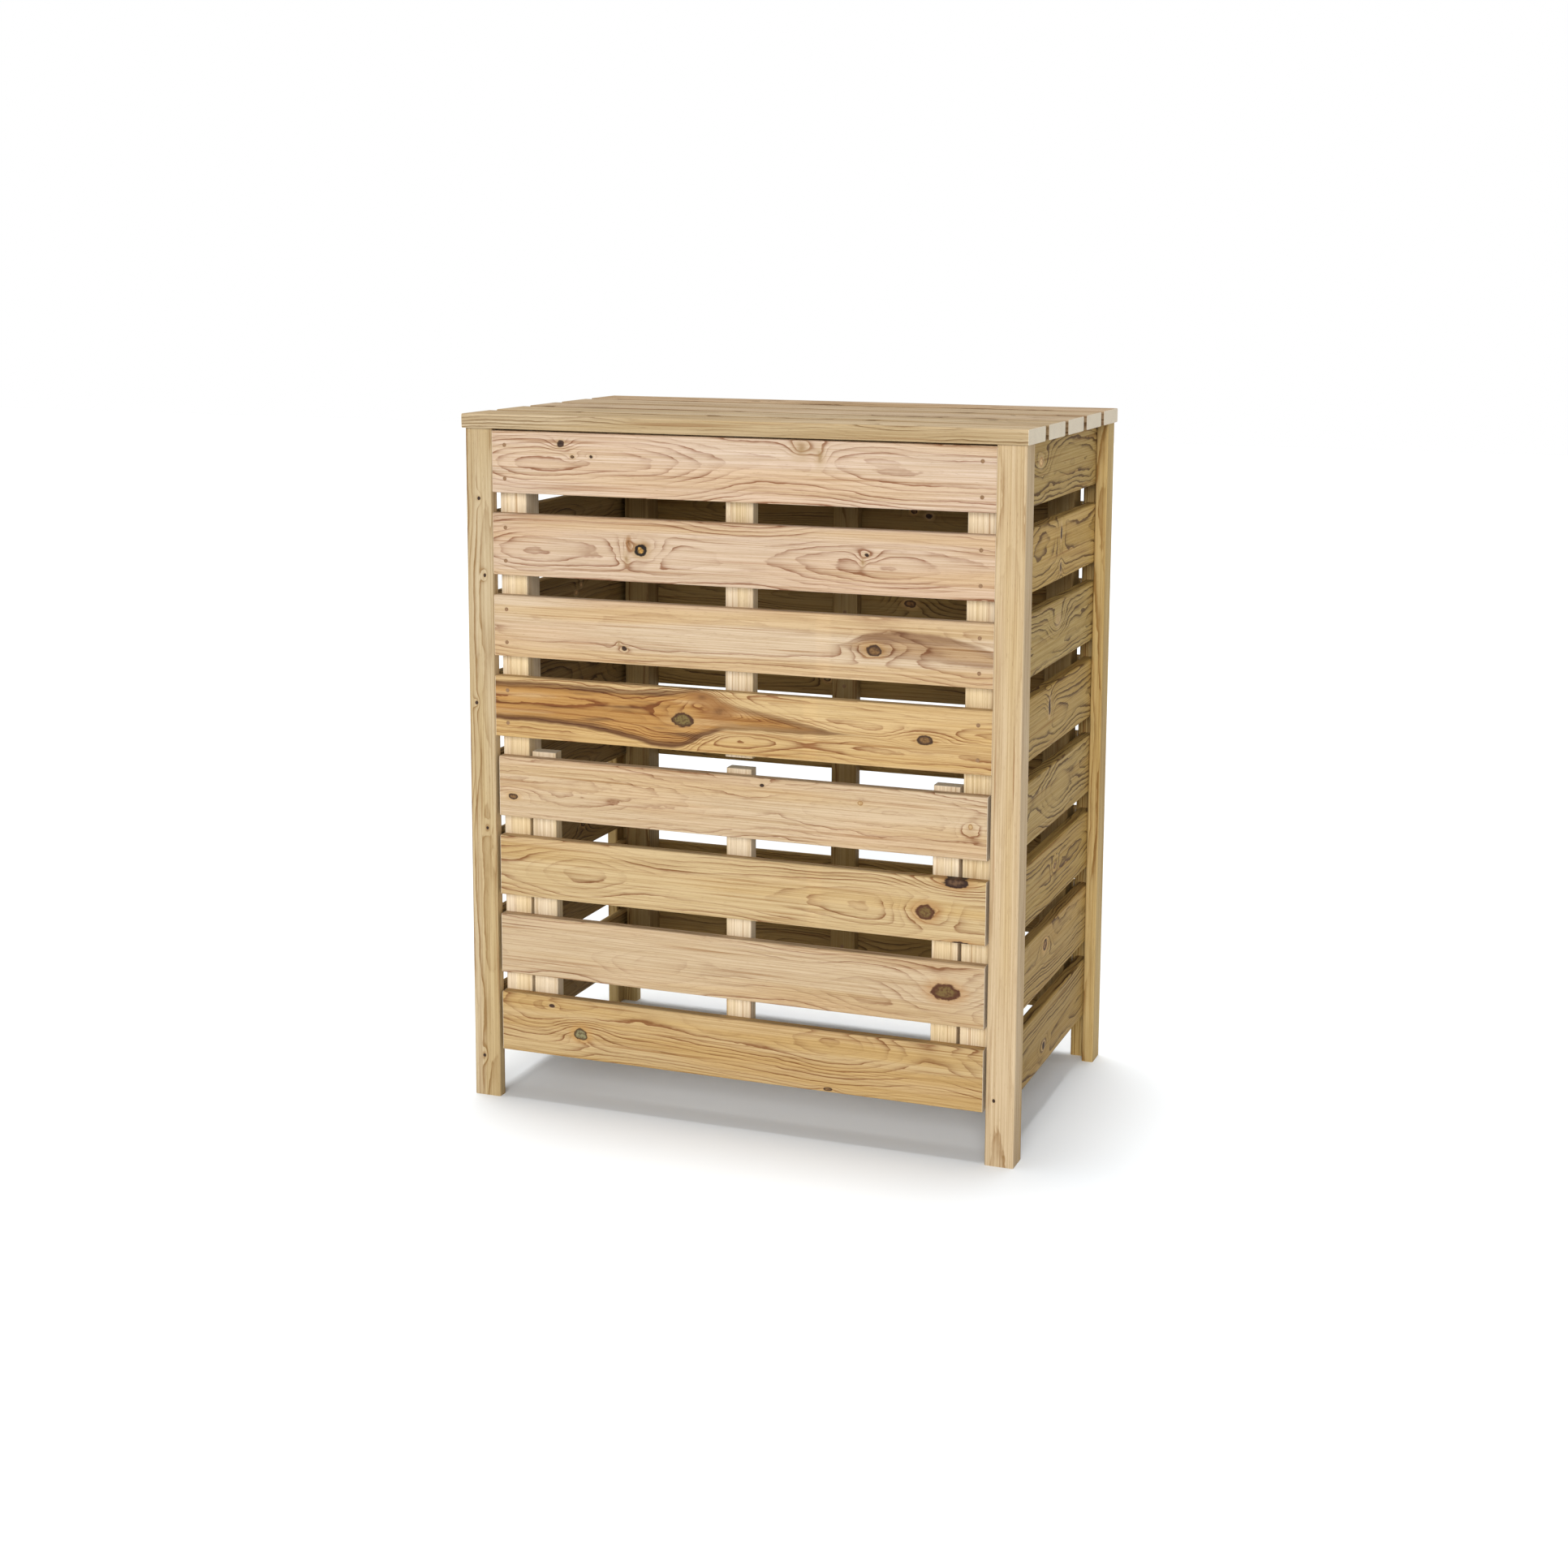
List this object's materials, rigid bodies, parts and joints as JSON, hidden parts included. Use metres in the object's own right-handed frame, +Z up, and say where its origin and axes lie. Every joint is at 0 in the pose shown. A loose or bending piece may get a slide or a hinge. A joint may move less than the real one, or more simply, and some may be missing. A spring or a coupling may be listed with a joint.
{
  "type": "wooden composter",
  "caption": "Slatted timber garden composter, open to the ground, with L-section corner posts, a slatted lid hinged at the back and a lift-off lower front hatch.",
  "frame": {"origin": "on the ground, below the middle of the bin", "axes": "+X to the right of the front, +Y to the back, +Z up"},
  "size_m": [0.888, 0.557, 1.0795],
  "materials": {
    "front_pine": "planed treated pine, matt, warm tan",
    "side_pine": "planed treated pine, matt, olive brown",
    "frame_pine": "planed treated pine, matt, pale tan",
    "lid_pine": "planed treated pine, matt, pale tan",
    "zinc": "galvanised steel, dull"
  },
  "bodies": {
    "bin": {"post_front_left": "frame_pine", "post_front_right": "frame_pine", "post_back_left": "frame_pine", "post_back_right": "frame_pine", "upright_front_left": "frame_pine", "upright_front_right": "frame_pine", "upright_back_left": "frame_pine", "upright_back_right": "frame_pine", "front_slat_1": "front_pine", "front_slat_2": "front_pine", "front_slat_3": "front_pine", "front_slat_4": "front_pine", "left_slat_1": "side_pine", "left_slat_2": "side_pine", "left_slat_3": "side_pine", "left_slat_4": "side_pine", "left_slat_5": "side_pine", "left_slat_6": "side_pine", "left_slat_7": "side_pine", "left_slat_8": "side_pine", "right_slat_1": "side_pine", "right_slat_2": "side_pine", "right_slat_3": "side_pine", "right_slat_4": "side_pine", "right_slat_5": "side_pine", "right_slat_6": "side_pine", "right_slat_7": "side_pine", "right_slat_8": "side_pine", "back_slat_1": "side_pine", "back_slat_2": "side_pine", "back_slat_3": "side_pine", "back_slat_4": "side_pine", "back_slat_5": "side_pine", "back_slat_6": "side_pine", "back_slat_7": "side_pine", "back_slat_8": "side_pine", "front_centre_batten": "frame_pine", "back_centre_batten": "frame_pine", "hatch_sill": "frame_pine", "hinge_leaves_bin": "zinc", "hinge_pins": "zinc", "bin_nails": "zinc", "bin_screws": "zinc"},
    "lid": {"lid_board_1": "lid_pine", "lid_board_2": "lid_pine", "lid_board_3": "lid_pine", "lid_board_4": "lid_pine", "lid_board_5": "lid_pine", "lid_batten_left": "lid_pine", "lid_batten_right": "lid_pine", "hinge_leaves_lid": "zinc", "lid_screws": "zinc"},
    "hatch": {"hatch_slat_1": "front_pine", "hatch_slat_2": "front_pine", "hatch_slat_3": "front_pine", "hatch_slat_4": "front_pine", "hatch_batten_left": "frame_pine", "hatch_batten_centre": "frame_pine", "hatch_batten_right": "frame_pine", "hatch_nails": "zinc"}
  },
  "joints": [
    {"name": "lid_hinge", "type": "hinge", "parent": "bin", "child": "lid", "pos_m": [0, 0.2738, 1.0532], "axis": [-1, 0, 0], "range_deg": [0, 150]},
    {"name": "hatch_draw", "type": "slide", "parent": "bin", "child": "hatch", "axis": [0, -1, 0], "range_m": [0, 0.3]}
  ]
}
